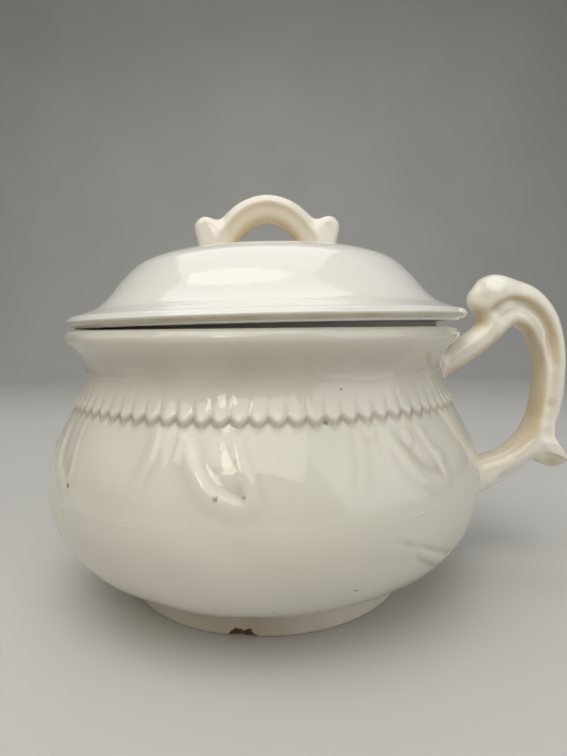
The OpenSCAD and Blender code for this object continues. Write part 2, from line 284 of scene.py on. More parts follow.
# Outline of the bowl
def ease(a, b, t, fullness):
    return mix(a, b, (1 - np.cos(np.pi * np.clip(t, 0, 1) ** fullness)) / 2)


def shoulder_r(z):
    return ease(belly_r, neck_r, (z - belly_z) / (neck_z - belly_z), shoulder_fullness)


def cove_r(z):
    return ease(neck_r, rim_r, (z - neck_z) / (lip_z - neck_z), cove_fullness)


def outer_r(z):
    """Radius of the bowl's outside at a height."""
    z = np.asarray(z, float)
    below = np.sqrt(np.clip(1 - ((belly_z - z) / (belly_z - base_z)) ** 2, 0, 1))
    return np.where(z < belly_z, base_r + (belly_r - base_r) * below,
                    np.where(z < neck_z, shoulder_r(z), cove_r(z)))


def bowl_profile():
    """[radius, height] from the middle of the base, up the outside, over the lip and down to the
    middle of the floor, and how many of the points are outside."""
    quarter = np.linspace(0, np.pi / 2, 85)
    base = [[r, base_z] for r in np.linspace(0, base_r, 6)[:-1]]
    belly = []
    for q in quarter:
        r = base_r + (belly_r - base_r) * math.sin(q)
        lift = foot_lift * hump((r - foot_r) / foot_lift_w - foot_lift_at, 1)
        belly.append([r, belly_z - (belly_z - base_z) * math.cos(q) + lift])
    # Levels lie closer at the seam and at the tips of the flutes
    seam_low, seam_high = seam_z - 1 * MM, seam_z + seam_wander
    tips_low, tips_high = flute_z - 2 * MM, flute_z + 7 * MM
    spans = [(belly_z, seam_low, 3), (seam_low, seam_high, 22), (seam_high, tips_low, 33),
             (tips_low, tips_high, 26), (tips_high, neck_z, 14)]
    levels = np.concatenate([np.linspace(*span)[1:] for span in spans])
    shoulder = [[shoulder_r(z), z] for z in levels]
    cove = [[cove_r(z), z] for z in np.linspace(neck_z, lip_z, 24)[1:]]
    lip = [[rim_r - lip_r + lip_r * math.cos(a), lip_z + lip_r * math.sin(a)]
           for a in np.linspace(0, np.pi, 18)[1:-1]]
    in_cove = [[cove_r(z) - mix(wall, 2 * lip_r, (z - neck_z) / (lip_z - neck_z)), z]
               for z in np.linspace(lip_z, neck_z, 14)]
    in_shoulder = [[shoulder_r(z) - wall, z] for z in np.linspace(neck_z, belly_z, 18)[1:]]
    in_belly = [[base_r + (belly_r - wall - base_r) * math.sin(q),
                 belly_z - (belly_z - base_z - floor_t) * math.cos(q)] for q in quarter[::-3]]
    floor = [[r, base_z + floor_t] for r in np.linspace(base_r, 0, 6)[1:]]
    outside = base + belly + shoulder + cove
    inside = in_cove + in_shoulder + in_belly[1:] + floor
    return np.array(outside + lip + inside), len(outside)


# Relief on the bowl, as heights above its outline. Angles are from the middle of the front.
def flute_place(angle, z):
    """How far points lie from the middle of their flute, from 0 to 1, and above its lower edge."""
    turns = (angle - math.radians(flute_turn)) * flute_count / (2 * np.pi)
    u = np.abs((turns + 0.5) % 1 - 0.5) * 2
    return u, z - flute_z - flute_notch * u**1.5


def off_handle(angle):
    """0 beside the handle's root, where the band stops, and 1 elsewhere."""
    return smooth(*band_stop, np.abs(wrapped(angle - np.pi / 2)))


def flute_relief(angle, z):
    """Pointed flutes that hang over the shoulder, fullest at their tips, and fade at the waist."""
    u, h = flute_place(angle, z)
    step = smooth(*flute_edge, h)
    up = np.clip((z - flute_z) / flute_fade, 0, 1)
    tail = (1 - smooth(tail_full, 1, up)) * (1 - mix(*tail_round, up) * u**2)
    bead = hump(np.maximum(h, 0), flute_bead_h) * (1 - u**2)
    return step * (flute_tail * tail + flute_bead * bead) * off_handle(angle)


def flute_shade_and_pool(angle, z):
    """Painted shade under the flutes, with glaze that lies thicker there, and painted shade between
    them.
    """
    u, h = flute_place(angle, z)
    under = hump(h + under_shade_and_pool_h, under_shade_and_pool_w) * mix(*under_shade_and_pool_depth, u)
    between = (between_shade * u**6 * smooth(0, between_shade_from, h)
               * smooth(between_shade_to, between_shade_from, h))
    return np.maximum(under, between) * off_handle(angle)


def band_line(angle, z):
    """The thin wandering line where the moulded band ends under the rim."""
    line = band_top + 0.5 * MM * np.sin(9 * angle) + 0.35 * MM * np.sin(23 * angle + 1)
    return band_rise * hump(z - line, band_w) * off_handle(angle)


def seam(angle, z):
    """The seam that the mould left, worn off in the middle of the front and broken elsewhere."""
    line = seam_z + seam_wander * np.sin(angle) ** 2 + 0.3 * MM * np.sin(13 * angle)
    worn = smooth(*seam_wear, np.abs(wrapped(angle)))
    broken = 0.6 + 0.4 * np.sin(31 * angle) * np.sin(17 * angle + 1)
    return seam_rise * worn * broken * hump(z - line, seam_w)


def rim_roll(z):
    """The rolled edge under the lip, with a slight hollow below it."""
    return sum(rise * hump(z - rim_z + down, width) for down, width, rise in rim_rolls)


def waver(angle, z):
    """Slow unevenness of hand-finished clay."""
    return waver_rise * sum(share * np.sin(turns * angle + climb * z + start)
                            for turns, climb, start, share in waver_waves)


def sunk_share(relief, reach_round=4, reach_up=3):
    """0 on level or raised places of a relief, up to 1 where it is lower than what is round it."""
    steps = range(-reach_round, reach_round + 1)
    across = sum(np.roll(relief, k, 1) for k in steps) / len(steps)
    steps = range(-reach_up, reach_up + 1)
    around = across.copy()
    around[reach_up:-reach_up] = sum(
        across[reach_up + k:len(across) - reach_up + k] for k in steps) / len(steps)
    return np.clip((around - relief) / leaf_shade_and_pool_depth, 0, 1)


def rib(path, angle, z, width, rise, hollow=0.0, hollow_at=1.0, hollow_w=1.0):
    """A soft rib along a path of [degrees, height], with a shallow hollow on its left."""
    x = wrapped(angle - math.radians(path[0, 0])) * rib_r
    near = np.abs(x) < rib_reach
    line = np.stack([np.radians(path[:, 0] - path[0, 0]) * rib_r, path[:, 1]], -1)
    d, along, side = distance_to(line, x[near], z[near])
    taper = smooth(0, 0.25, along) * smooth(1, 0.75, along)
    out = np.zeros(angle.shape)
    out[near] = taper * (rise * hump(d, width) - hollow * hump(d * side - hollow_at, hollow_w))
    return out


def skin_curve(path):
    """A curve on the bowl in [degrees, metres], from points in degrees and millimetres."""
    return curve(np.array(path) * [1, MM], 4)


def leaf_relief(angle, z):
    """Curled leaf ribs that hang from the band, each with fine veins, leaves lower down, and the
    drops in the glaze."""
    main = curve(np.array(leaf_path) * [-leaf_sweep, -leaf_drop] + [0, flute_z], 5)
    veins = [(skin_curve(path), width, rise) for path, width, rise in leaf_veins]
    total = np.zeros(angle.shape)
    for i in range(leaf_count):
        if i == leaf_at_handle:
            continue
        turn = angle - math.radians(leaf_tip_angle + 360 * i / leaf_count)
        total += rib(main, turn, z, leaf_w, leaf_rise, leaf_hollow, leaf_hollow_at, leaf_hollow_w)
        for path, width, rise in veins:
            total += rib(path, turn, z, width, rise)
    upper, lower = skin_curve(low_leaf_upper), skin_curve(low_leaf_lower)
    for turn in np.radians(low_leaf_turns):
        total += rib(upper, angle - turn, z, low_upper_w, low_upper_rise)
        total += rib((upper + lower) / 2, angle - turn, z, low_rib_w, low_rib_rise)
        total += rib(lower, angle - turn, z, low_lower_w, low_lower_rise)
    for at, height, r, rise in glaze_drops:
        d = np.hypot(wrapped(angle - math.radians(at)) * outer_r(height * MM), z - height * MM)
        total += rise * hump(d / r - drop_ring, drop_ring_w)
    return total * smooth(flute_z + 3 * MM, flute_z - 3 * MM, z)


def make_bowl():
    angles = full_turn(flute_count * flute_steps)
    profile, outside = bowl_profile()
    rings = turned(profile, angles)
    out = right_of(profile[:outside])
    front, z = np.meshgrid(angles + np.pi / 2, profile[:outside, 1])
    leaves = leaf_relief(front, z)
    relief = (flute_relief(front, z) + leaves + band_line(front, z) + seam(front, z) + rim_roll(z)
              + waver(front, z))
    relief[: np.argmax(profile[:, 1] > relief_from)] = 0
    rings[:outside, :, 0] += relief * out[:, :1] * np.cos(angles)
    rings[:outside, :, 1] += relief * out[:, :1] * np.sin(angles)
    rings[:outside, :, 2] += relief * out[:, 1:]
    piece = lathe("bowl_skin", inside_box(rings, "pot_body"))
    tint_and_shade = np.zeros(rings.shape[:2])
    # Painted shade at the waist under the rim
    waist = waist_shade * hump(z - neck_z - waist_shade_z, waist_shade_w)
    # Painted shade and pooled glaze in the leaves' hollows
    in_leaves = leaf_shade_and_pool * sunk_share(leaves)
    tint_and_shade[:outside] = np.maximum(np.maximum(flute_shade_and_pool(front, z), in_leaves), waist)
    put_attribute(piece, "tint_and_shade", lathe_values(tint_and_shade))
    return piece


# Foot ring
foot_columns = 720
foot_w, foot_top = 9 * MM, base_z + 4.2 * MM
foot_wobble = 0.18 * MM
# Chip in its front edge: middle and half width in degrees, height and depth
chip_angle, chip_half = -9.4, 4.4
chip_top, chip_depth = 3.2 * MM, 1.6 * MM
chip_soft = 0.9
chip_reach = 3.2 * MM
# Painted shade under the belly at the front, and a brown wash in the thin glaze at the back:
# angle from the middle of the front, half width, depth of colour
foot_shade_and_washes = [(-4, 24, 0.9), (158, 30, 0.6)]


def foot_profile():
    inner = foot_r - foot_w
    profile = curve(np.array([
        [inner + 0.2 * MM, base_z + 2 * MM], [inner, 4 * MM], [inner + 0.2 * MM, 1.6 * MM],
        [inner + 1.2 * MM, 0.25 * MM], [inner + 3 * MM, 0], [foot_r - 3 * MM, 0],
        [foot_r - 0.6 * MM, 0.1 * MM], [foot_r, 0.9 * MM], [foot_r - 0.4 * MM, 5 * MM],
        [foot_r - 0.9 * MM, 9 * MM], [foot_r - 0.5 * MM, foot_top]]), 6)
    profile[:, 1] = np.maximum(profile[:, 1], 0)
    return profile


def foot_chip(front, rings):
    """How much of the chip is at each point, from 0 to 1. front is in degrees."""
    z = rings[..., 2]
    ragged = 0.6 * np.sin(front * 1.3 + 0.4) + 0.4 * np.sin(front * 2.9 + 1)
    side = chip_half + 0.5 * ragged + 0.7 * np.sin(z / MM * 1.9 + 0.4)
    across = smooth(side, side - chip_soft, np.abs(front - chip_angle))
    brow = chip_top - 0.6 * MM * ragged
    up = smooth(brow, brow - chip_soft * MM, z)
    outer = np.hypot(rings[..., 0], rings[..., 1]) > foot_r - chip_reach
    return across * up * outer


def make_foot():
    angles = full_turn(foot_columns)
    rings = turned(foot_profile(), angles)
    z = rings[..., 2]
    front = np.degrees(wrapped(angles + np.pi / 2))
    wobble = (foot_wobble * (np.sin(5 * angles + 1) + 0.6 * np.sin(13 * angles))
              * smooth(1 * MM, 5 * MM, z))
    chip = foot_chip(front, rings)
    rough = 1 + 0.3 * np.sin(front * 2.3 + 1) * np.sin(z / MM * 1.4 + front)
    shift = np.minimum(wobble, 0) - chip * chip_depth * rough
    # Painted shade at the front, where the belly overhangs, and a brown wash at the back
    shade_and_wash = sum(depth * hump((front - at + 180) % 360 - 180, half)
               for at, half, depth in foot_shade_and_washes)
    rings[..., 0] += shift * np.cos(angles)
    rings[..., 1] += shift * np.sin(angles)
    piece = ring_skin("foot_skin", rings)
    put_attribute(piece, "chip", chip.ravel())
    put_attribute(piece, "tint_and_shade", (shade_and_wash + 0 * z).ravel())
    return piece


# Lid: points of its top in millimetres from the crown, and of its edge from the edge's foot
lid_columns, flange_columns = 320, 256
lid_wall = 4.6 * MM
lid_points = [[0, 0], [30, -1.2], [48, -3.3], [58, -5.6], [66.5, -9.6], [74.5, -17.2],
              [81, -25.2], [87, -30.2], [93, -32.7], [98, -34.2], [99.7, -35.1]]
lid_edge_points = [[-0.8, 3.2], [-0.15, 2.5], [-0.3, 1.3], [-1.2, 0.4], [-2.6, 0], [-6, 0.5]]
lid_edge_foot = lid_edge_z + 0.3 * MM
# Turning lines on the brim: rise, spacing, and where they come up and fade
lid_ripple, lid_ripple_gap = 0.05 * MM, 3.6 * MM
lid_ripple_in, lid_ripple_out = (84 * MM, 88 * MM), (99 * MM, 96 * MM)
# Painted shade on the lower half of the edge, which faces a little down
edge_shade_r, edge_shade_h = (3 * MM, 1 * MM), (2.8 * MM, 1.4 * MM)
# Flange: inner radius, thickness, gap over the rim, rise into the lid, and inset of the seat
flange_r, flange_t = 81.5 * MM, 4.5 * MM
flange_gap, flange_bury, seat_inset = 1.1 * MM, 1.5 * MM, 0.8 * MM


def lid_line():
    """The lid's top from its middle to its edge, as [radius, height under the crown]."""
    return curve(np.array(lid_points), 8) * MM


def lid_top_z(r):
    line = lid_line()
    return crown_z + np.interp(r, line[:, 0], line[:, 1])


def lean(points, angle):
    """Turns points a little about the middle of the lid's edge, up at the handle and the front."""
    out = np.array(points, float)
    x, z = out[..., 0] - lid_x, out[..., 2] - lid_edge_z
    out[..., 0] = lid_x + x * math.cos(angle) - z * math.sin(angle)
    y, z = out[..., 1].copy(), z * math.cos(angle) + x * math.sin(angle)
    out[..., 1] = y * math.cos(lid_tip) + z * math.sin(lid_tip)
    out[..., 2] = lid_edge_z + z * math.cos(lid_tip) - y * math.sin(lid_tip)
    return out


def make_lid():
    top = lid_line()
    r = top[:, 0]
    brim = smooth(*lid_ripple_in, r) * smooth(*lid_ripple_out, r)
    top[:, 1] += crown_z + lid_ripple * brim * np.sin(2 * np.pi * r / lid_ripple_gap)
    under = top + lid_wall * right_of(top)
    under = under[(under[:, 0] > 0.5 * MM) & (under[:, 0] < lid_r - 8 * MM)]
    edge = curve(np.array(lid_edge_points) * MM + [lid_r, lid_edge_foot], 5)
    profile = np.vstack([top, edge[1:], under[::-1], [[0, crown_z - lid_wall]]])[::-1]
    angles = full_turn(lid_columns)
    piece = lathe("lid_skin", lean(turned(profile, angles, lid_x), lid_lean))
    # Painted shade on the lower half of the edge
    (shade_in, shade_out), (shade_high, shade_low) = edge_shade_r, edge_shade_h
    tint_and_shade = (smooth(lid_r - shade_in, lid_r - shade_out, profile[:, 0])
            * smooth(lid_edge_foot + shade_high, lid_edge_foot + shade_low, profile[:, 1]))
    put_attribute(piece, "tint_and_shade", lathe_values(tint_and_shade[:, None] + 0 * angles))
    return piece


def make_flange():
    """The seat under the lid's edge and the collar that drops into the mouth, as one ring."""
    inner, outer = flange_r, flange_r + flange_t
    seat, seat_r = rim_z + flange_gap, flange_seat_r - seat_inset
    under = lid_top_z(inner) - lid_wall + flange_bury
    profile = np.array([
        [inner, under], [inner, flange_z + 1.4 * MM], [inner + 0.5 * MM, flange_z + 0.5 * MM],
        [inner + 1.6 * MM, flange_z + 0.1 * MM], [outer - 1.6 * MM, flange_z + 0.1 * MM],
        [outer - 0.5 * MM, flange_z + 0.5 * MM], [outer, flange_z + 1.4 * MM],
        [outer, seat - 0.6 * MM], [outer + 0.6 * MM, seat], [seat_r, seat + 0.3 * MM],
        [seat_r, lid_edge_z + 1.5 * MM]])
    rings = turned(profile, full_turn(flange_columns), lid_x)
    return ring_skin("flange_skin", lean(rings, lid_lean))


# Handles: fields of bars and rolls, below zero inside, that flow into each other. Fields and the
# numbers for them are in millimetres.
def join(a, b, soft):
    """Both solids, with a fillet about as wide as soft."""
    h = np.maximum(soft - np.abs(a - b), 0) / soft
    return np.minimum(a, b) - h * h * soft / 4


def cut(a, b, soft):
    """The part of solid a inside solid b, with a rounded edge."""
    return -join(-a, -b, soft)


def bar(stations, x, y, z, squareness=2.4, accents=()):
    """A bar in the XZ plane through stations [x, z, half thickness, half width].

    Each accent [angle, width, amount] is a ridge or groove along it, at an angle from the bar's
    left edge.
    """
    path = curve(stations, 8)
    d, along, side = distance_to(path[:, :2], x, z)
    where = along * (len(path) - 1)
    half_t = np.interp(where, np.arange(len(path)), path[:, 2])
    half_w = np.interp(where, np.arange(len(path)), path[:, 3])
    u, v = d * side / half_t, np.abs(y) / half_w
    size = (np.abs(u) ** squareness + v**squareness) ** (1 / squareness)
    turn = np.degrees(np.arctan2(v, u))
    for at, width, amount in accents:
        size = size / (1 + amount * hump(turn - at, width))
    return (size - 1) * np.minimum(half_t, half_w)


def roll(centre_x, centre_z, r, half_w, x, y, z, squareness=2.5):
    """A rounded roll that lies across the handle."""
    around = np.hypot(x - centre_x, z - centre_z) / r
    size = (around**squareness + (np.abs(y) / half_w) ** squareness) ** (1 / squareness)
    return (size - 1) * min(r, half_w)


def dent(centre, r, depth, x, y, z):
    """A soft dent on both sides of a handle, to add to its field."""
    d2 = (x - centre[0]) ** 2 + (np.abs(y) - centre[1]) ** 2 + (z - centre[2]) ** 2
    return depth * np.exp(-d2 / r**2)


def crease(path, depth, inner_w, outer_w, x, y, z):
    """A groove along a path on both sides of a handle, to add to its field."""
    d, along, side = distance_to(curve(path, 5), x, z)
    ends = smooth(0, 0.1, along) * smooth(1, 0.85, along)
    width = np.where(side > 0, outer_w, inner_w)
    return depth * ends * hump(d, width) * smooth(3.5, 7, np.abs(y))


def rooted(solid, carrier, soft, sunk=0.35, depth=2.5):
    """A solid with a fillet to what carries it. It ends inside the carrier, below its surface."""
    flowing = np.maximum(join(solid, carrier + sunk, soft), solid - soft)
    return np.maximum(flowing, -(carrier + depth))


def spread(piece, values, passes):
    """Averages values over neighbouring points."""
    pairs = np.zeros(len(piece.data.edges) * 2, np.int32)
    piece.data.edges.foreach_get("vertices", pairs)
    a, b = pairs.reshape(-1, 2).T
    count = np.bincount(np.concatenate([a, b]), minlength=len(values))
    for _ in range(passes):
        total = np.bincount(a, values[b], len(values)) + np.bincount(b, values[a], len(values))
        values = 0.5 * values + 0.5 * total / np.maximum(count, 1)
    return values


def spread_points(piece, passes):
    points = get_points(piece)
    return np.stack([spread(piece, points[:, k], passes) for k in range(3)], -1)


def field_skin(name, field, low, high, step):
    """The closed skin where a field is zero, on a grid of cells between two corners."""
    axes = [np.arange(a, b + step, step) for a, b in zip(low, high)]
    d = field(*np.meshgrid(*axes, indexing="ij", sparse=True))
    inside = d < 0
    cells = tuple(n - 1 for n in d.shape)
    total, hits, edges = np.zeros(cells + (3,)), np.zeros(cells), []
    for k in range(3):
        start = tuple(slice(None, -1) if m == k else slice(None) for m in range(3))
        end = tuple(slice(1, None) if m == k else slice(None) for m in range(3))
        crossed = inside[start] != inside[end]
        share = np.where(crossed, d[start] / np.where(crossed, d[start] - d[end], 1), 0)
        edges.append((crossed, inside[start]))
        i, j = (k + 1) % 3, (k + 2) % 3
        for u, v in ((0, 0), (0, 1), (1, 0), (1, 1)):
            shift = {i: slice(u, u + cells[i]), j: slice(v, v + cells[j])}
            part = tuple(shift.get(m, slice(None)) for m in range(3))
            hits += crossed[part]
            total[..., k] += share[part]
            total[..., i] += u * crossed[part]
            total[..., j] += v * crossed[part]
    used = hits > 0
    number = np.cumsum(used.ravel()).reshape(cells) - 1
    points = np.array(low) + step * (np.argwhere(used) + total[used] / hits[used][:, None])
    faces = []
    for k, (crossed, from_inside) in enumerate(edges):
        back_i, back_j = np.eye(3, dtype=int)[[(k + 1) % 3, (k + 2) % 3]]
        at = np.argwhere(crossed)
        corners = (back_i + back_j, back_j, 0 * back_i, back_i)
        quads = np.stack([number[tuple((at - b).T)] for b in corners], -1)
        turned_in = ~from_inside[crossed]
        quads[turned_in] = quads[turned_in][:, ::-1]
        faces += quads.tolist()
    piece = mesh_piece(name, points * MM, faces)
    put_points(piece, spread_points(piece, 2))
    return piece


def hollow_of(piece):
    """How hollow the skin is at each point: 0 where it is flat or rounded, up to 1 in a groove."""
    bend = ((spread_points(piece, 3) - get_points(piece)) * get_normals(piece)).sum(1)
    return np.clip(spread(piece, bend, 3) / (0.09 * MM), 0, 1)


def inward_of(piece, centre):
    """How much the skin faces a centre line across the handle, from -1 to 1."""
    inward = (np.array(centre) * MM - get_points(piece)) * [1, 0, 1]
    return (get_normals(piece) * inward).sum(1) / np.linalg.norm(inward, axis=1)


# Handle of the pot
handle_half_w = 10.5
handle_step = 0.8
handle_low, handle_high = (78, -26, 18), (168, 26, 164)
# Middle of the finger hole, which the inner side of the handle faces; that side gets warm painted
# shade with some pooled glaze
handle_hole = (126, 0, 95)
# The ridge on the sides of the lower arm, and how the arm narrows below it
ridge_path = [[116.5, 51.4], [122.9, 52.6], [129.2, 55.2], [138.1, 59.3], [143.6, 60.9],
              [150.9, 61.6], [156.4, 60.2], [160.6, 57.3], [164, 54]]
bevel_step, bevel_slope, bevel_drop = 4.2, 3.6, 6.5
bevel_room = 4
# Grooves on both sides: path, depth, width towards the finger hole, width towards the outside
handle_creases = [
    ([[118.2, 135], [120.6, 139.9], [124, 142.5], [130.2, 144.2], [137.3, 142.6], [143.7, 138.2],
      [148, 132.8], [151, 126], [152.6, 117], [153.3, 108.8]], 1.9, 2.9, 1.2),
    ([[150.4, 128], [152.4, 119], [153.3, 108.8], [153.1, 98.9], [152.4, 88], [151.4, 79.8],
      [150.6, 73], [148.8, 66.5]], 1.1, 2.9, 2.3),
    ([[122, 132.6], [124.5, 135.3], [128.2, 137.6], [132.1, 138.2], [137.5, 136.2],
      [142.1, 131.9], [145.9, 126], [147.6, 117]], 0.7, 2.0, 1.2)]
# Soft dents on both sides: middle, radius, depth
handle_dents = [((113.9, 10, 145.6), 4.2, 1.2), ((120.7, 10.5, 153.2), 3.4, 1.1),
                ((135.8, 10, 150.1), 3.6, 0.6), ((113.2, 6, 152.0), 3.0, 0.8),
                ((153.3, 9, 110), 2.2, 0.7), ((152.5, 9, 88), 2.0, 0.8)]
# Places where its glaze pooled, and painted shade under the curl of the spur: x, z and radius,
# depth of colour
handle_pools_and_shade = [(112.5, 133.5, 5.5, 0.9), (114.5, 145, 4, 0.25), (155, 56.5, 4.5, 0.6),
                (100, 106, 6, 0.3)]


def bevel(x, y, z):
    """The space that the lower arm narrows to below its ridge, which ends as the spur's lip."""
    d, _, side = distance_to(curve(ridge_path, 5), x, z)
    below = -d * side
    narrow = bevel_step * smooth(-2.5, 0.3, below) + bevel_slope * smooth(0, bevel_drop, below)
    return np.abs(y) - (handle_half_w + bevel_room - smooth(116, 128, x) * narrow)


def handle_field(x, y, z):
    """A loop with a leaf over its outside, a scroll for a head, and a spur at the bottom."""
    w = handle_half_w
    loop = bar([
        [84, 103.5, 6.8, 11.8], [94, 109.6, 6.4, 11], [103, 114.8, 6.3, w], [115, 122.9, 6.3, w],
        [124, 131.2, 6.2, w - 0.4], [133.6, 136, 6.1, w - 0.8], [144.3, 131.2, 5.8, w - 0.8],
        [150.8, 118.3, 5.1, w - 0.4], [152.8, 104, 4.8, w], [149.5, 76.3, 5.6, w],
        [135.9, 58.3, 6.7, w], [119, 50, 8.8, w + 0.6], [99.6, 43, 12, w + 2]], x, y, z)
    leaf = bar([
        [122, 147.4, 9.4, w], [131.4, 147.2, 7.9, w + 0.3], [141.5, 143.4, 7.2, w + 0.3],
        [150.4, 133.9, 6.0, w + 0.2], [155.1, 119, 5.6, w - 0.1], [156.2, 104.5, 5.3, w - 0.5],
        [154.8, 88, 5.5, w - 1], [151.6, 75, 4.8, w - 1.6]], x, y, z, 2.7)
    neck = bar([
        [122.8, 144, 9.6, w - 0.6], [122.6, 135, 8.7, w - 1], [122, 128.6, 5.4, w - 1.2]], x, y, z)
    head = join(roll(123.9, 147.4, 10.0, w + 0.9, x, y, z),
                roll(117.2, 144.4, 7.3, w, x, y, z), 1.6)
    tongue = bar([
        [150.5, 75, 5.0, w - 1.2], [153.2, 67.8, 5.0, w - 0.5], [156.3, 62.6, 3.5, w - 0.3],
        [158.9, 58.9, 2.1, w - 0.9]], x, y, z)
    fin = bar([
        [138, 61, 2.4, w - 4.5], [147, 64.8, 5.6, w - 0.8], [153, 64.2, 4.6, w - 0.5],
        [156.8, 60.9, 3.0, w - 0.6], [159, 58.3, 1.9, w - 1]], x, y, z)
    curl = bar([
        [151.4, 58.8, 4.2, w - 1.2], [154.6, 57.4, 4.0, w - 1.2], [157, 57.3, 4.2, w - 1.2]],
        x, y, z)
    under = bar([
        [141, 60.6, 2.4, w - 4.5], [147, 61.4, 4.8, w - 1.2], [154, 59, 4.2, w - 1.4]], x, y, z)
    solid = join(join(loop, leaf, 1.2), join(head, neck, 4), 2.5)
    solid = join(join(solid, join(tongue, fin, 5), 3), join(under, curl, 2), 2)
    solid = cut(solid, bevel(x, y, z), 1.2)
    for path, depth, inner_w, outer_w in handle_creases:
        solid = solid + crease(path, depth, inner_w, outer_w, x, y, z)
    for centre, r, depth in handle_dents:
        solid = solid + dent(centre, r, depth, x, y, z)
    bowl = np.hypot(x, y) - outer_r(z * MM) / MM
    return rooted(solid, bowl, 8)


def make_handle():
    piece = field_skin("handle_skin", handle_field, handle_low, handle_high, handle_step)
    put_points(piece, inside_box(get_points(piece), "pot_handle"))
    # Painted shade with some pooled glaze: warm on faces turned to the finger hole and in grooves,
    # less on faces turned up
    warm_and_shade = 0.75 * smooth(0.1, 0.9, inward_of(piece, handle_hole)) + 0.35 * hollow_of(piece)
    warm_and_shade = warm_and_shade * (1 - 0.55 * smooth(0.2, 0.9, get_normals(piece)[:, 2]))
    at = get_points(piece) / MM
    for x, z, r, depth in handle_pools_and_shade:
        warm_and_shade = warm_and_shade + depth * np.exp(-((at[:, 0] - x) ** 2 + (at[:, 2] - z) ** 2) / r**2)
    put_attribute(piece, "tint_and_shade", np.clip(spread(piece, warm_and_shade, 4), 0, 1))
    return piece


# Grip of the lid, from its middle
arch_r, arch_half_t, arch_swell = 24.8, 7.1, 1.8
arch_turns = np.radians(np.arange(-100, 101, 20))
arch_accents = [(72, 10, 0.10), (108, 22, -0.08)]
ear_half_t = 6.0
ear_accents = [(90, 30, -0.05)]
grip_step = 0.7
grip_low, grip_high = (-44, -16, 155), (44, 16, 202)
# Height of the line that the inner side of the arch faces, which gets warm painted shade with some
# pooled glaze, and how far the arch reaches
grip_hole_z = 173
grip_hole_half = (22 * MM, 18 * MM)


def grip_field(x, y, z):
    """An arch on the lid, a little thicker at its top, with an ear rolled out at each foot."""
    x = x - lid_x / MM
    w = grip_half_w / MM - 0.7
    crown = crown_z / MM
    r = arch_r + arch_swell * np.cos(arch_turns) ** 6
    centre_z = grip_top_z / MM - 0.1 - (arch_r + arch_half_t + arch_swell)
    flat = 0 * arch_turns
    stations = np.stack([r * np.sin(arch_turns), centre_z + r * np.cos(arch_turns),
                         arch_half_t + flat, w + flat], -1)
    arch = bar(stations, x, y, z, 2.6, arch_accents)
    ear_x = grip_half / MM - ear_half_t - 0.2
    ear = bar([
        [27, crown - 9, 7, w], [29.4, crown + 2, ear_half_t + 0.4, w],
        [ear_x, crown + 10.8, ear_half_t, w]], np.abs(x), y, z, 3.0, ear_accents)
    lid = z - lid_top_z(np.hypot(x, y) * MM) / MM
    return rooted(join(arch, ear, 6), lid, 3, sunk=1.0, depth=3)


def make_grip():
    middle = lid_x / MM
    low, high = ((middle + corner[0],) + corner[1:] for corner in (grip_low, grip_high))
    piece = field_skin("grip_skin", grip_field, low, high, grip_step)
    # Painted shade with some pooled glaze: warm on faces turned under the arch, in hollows and on
    # the front and back faces
    warm_and_shade = smooth(0.05, 0.8, inward_of(piece, (middle, 0, grip_hole_z))) + 0.6 * hollow_of(piece)
    warm_and_shade = warm_and_shade + 0.25 * smooth(0.6, 0.95, np.abs(get_normals(piece)[:, 1]))
    under = smooth(*grip_hole_half, np.abs(get_points(piece)[:, 0] - lid_x))
    put_attribute(piece, "tint_and_shade", np.clip(spread(piece, warm_and_shade * mix(0.4, 1, under), 4), 0, 1))
    points = lean(get_points(piece), grip_lean)
    points[:, 2] = np.minimum(points[:, 2], grip_top_z)
    put_points(piece, points)
    return piece


# Materials
def srgb(*values):
    """Linear colour from red, green and blue between 0 and 255."""
    shares = [value / 255 for value in values]
    return tuple(c / 12.92 if c <= 0.04045 else ((c + 0.055) / 1.055) ** 2.4
                 for c in shares) + (1.0,)


